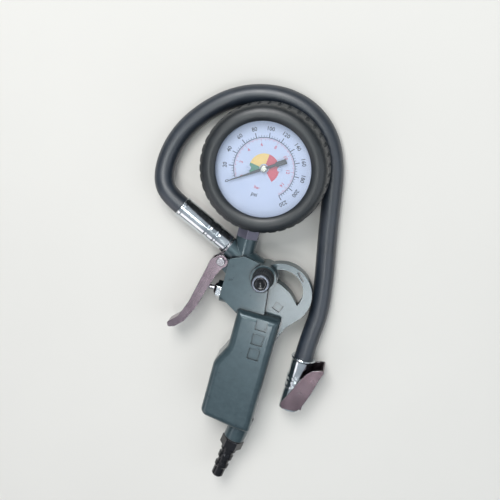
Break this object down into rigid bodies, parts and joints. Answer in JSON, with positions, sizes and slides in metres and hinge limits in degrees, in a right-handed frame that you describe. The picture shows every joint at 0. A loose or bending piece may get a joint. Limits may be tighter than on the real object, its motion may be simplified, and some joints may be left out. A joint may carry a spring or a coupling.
{
  "type": "tyre inflator with gauge",
  "caption": "Pistol-grip tyre inflator with a dial gauge in a rubber boot, trigger and bleed valves, a hanging hook and a whip hose with a clip-on chuck.",
  "frame": {"origin": "centre of the rigid gun's box (without the hose and chuck), on the surface that it lies on", "axes": "+Z out of the dial, +Y along the handle towards the gauge, -X is the trigger side and +X the hanging hook"},
  "size_m": [0.1377, 0.2576, 0.038],
  "materials": {
    "body_paint": "dark teal-grey satin paint on a die-cast body",
    "chrome": "bright plating",
    "trigger_steel": "zinc-plated pressed steel with a pinkish tint",
    "zinc_steel": "zinc-plated turned steel",
    "dark_steel": "blackened steel, oiled",
    "neck_metal": "dark plum-grey coated brass",
    "case_steel": "black stove enamel",
    "brass": "turned and stamped brass",
    "bronze": "sintered bronze",
    "spring_steel": "drawn wire",
    "boot_rubber": "moulded matt rubber",
    "hose_rubber": "smooth extruded rubber",
    "seal_rubber": "matt",
    "black_plastic": "moulded, knurled",
    "dial_white": "white enamel with printed scales",
    "pointer_black": "matt black",
    "lens_clear": "clear flat window"
  },
  "bodies": {
    "gun": {"gun_body": "body_paint", "inlet_plug": "dark_steel", "inlet_seal": "seal_rubber", "inlet_filter": "bronze", "hose_fitting": "zinc_steel", "hose_ferrule": "chrome", "hose_end_gun": "hose_rubber", "hose": "hose_rubber", "hose_end_chuck": "hose_rubber", "trigger_pin": "zinc_steel", "trigger_clip": "spring_steel", "valve_gland_nut": "chrome", "gland_o_ring": "seal_rubber", "valve_seat": "brass", "seat_o_ring": "seal_rubber", "valve_spring": "spring_steel", "bleed_collar": "black_plastic", "button_ring": "chrome", "collar_o_ring": "seal_rubber", "bleed_spring": "spring_steel", "rubber_boot": "boot_rubber", "gauge_case": "case_steel", "case_vent_plug": "seal_rubber", "lens_gasket": "seal_rubber", "lens": "lens_clear", "bezel_ring": "chrome", "gauge_socket": "neck_metal", "bourdon_tube": "brass", "bourdon_tip": "brass", "movement_rear_plate": "brass", "movement_front_plate": "brass", "movement_pillars": "brass", "movement_screws": "spring_steel", "hairspring": "brass", "dial_posts": "brass", "dial_plate": "dial_white", "dial_screws": "spring_steel", "chuck_ferrule": "chrome", "chuck_body": "chrome", "chuck_gasket": "seal_rubber", "chuck_depressor": "brass", "chuck_lever_pin": "zinc_steel", "chuck_spring": "spring_steel"},
    "trigger": {"trigger": "trigger_steel"},
    "valve": {"valve_stem": "zinc_steel", "valve_disc": "seal_rubber"},
    "bleed": {"bleed_button": "dark_steel", "bleed_seal": "seal_rubber"},
    "sector": {"sector_gear": "brass", "link_rivet": "brass"},
    "pinion": {"pinion_arbor": "brass", "pointer": "pointer_black", "pointer_cap": "brass"},
    "link": {"link": "brass"},
    "chuck_lever": {"chuck_lever": "trigger_steel"}
  },
  "joints": [
    {"name": "trigger_pivot", "type": "hinge", "parent": "gun", "child": "trigger", "pos_m": [-0.0117, 0.0208, 0.0135], "axis": [0, 0, 1], "range_deg": [0, 10], "stiffness_Nm_per_rad": 1.5, "springref_deg": -2.86},
    {"name": "valve_slide", "type": "slide", "parent": "gun", "child": "valve", "axis": [1, 0, 0], "range_m": [0, 0.0038], "deforming": ["valve_spring"]},
    {"name": "bleed_slide", "type": "slide", "parent": "gun", "child": "bleed", "axis": [0, 0, -1], "range_m": [0, 0.0025], "stiffness_N_per_m": 800, "springref_m": -0.001, "deforming": ["bleed_spring"]},
    {"name": "sector_pivot", "type": "hinge", "parent": "gun", "child": "sector", "pos_m": [0.0099, 0.0756, 0.0125], "axis": [0, 0, 1], "range_deg": [0, 37.1], "stiffness_Nm_per_rad": 0.01, "springref_deg": -2.86},
    {"name": "pointer_spin", "type": "hinge", "parent": "gun", "child": "pinion", "pos_m": [0, 0.0855, 0.0125], "axis": [0, 0, 1], "range_deg": [-260, 0]},
    {"name": "link_swing", "type": "hinge", "parent": "sector", "child": "link", "pos_m": [0.01654, 0.07337, 0.0136], "axis": [0, 0, 1], "range_deg": [-38, 0]},
    {"name": "chuck_lever_pivot", "type": "hinge", "parent": "gun", "child": "chuck_lever", "pos_m": [0.0589, -0.05, 0.0093], "axis": [0, 0, 1], "range_deg": [0, 12], "stiffness_Nm_per_rad": 0.6, "springref_deg": -5.73, "deforming": ["chuck_spring"]}
  ],
  "couplings": [
    {"joint": "valve_slide", "follows": "trigger_pivot", "m_per_rad": 0.0212},
    {"joint": "pointer_spin", "follows": "sector_pivot", "ratio": -7},
    {"joint": "link_swing", "follows": "sector_pivot", "ratio": -1}
  ]
}
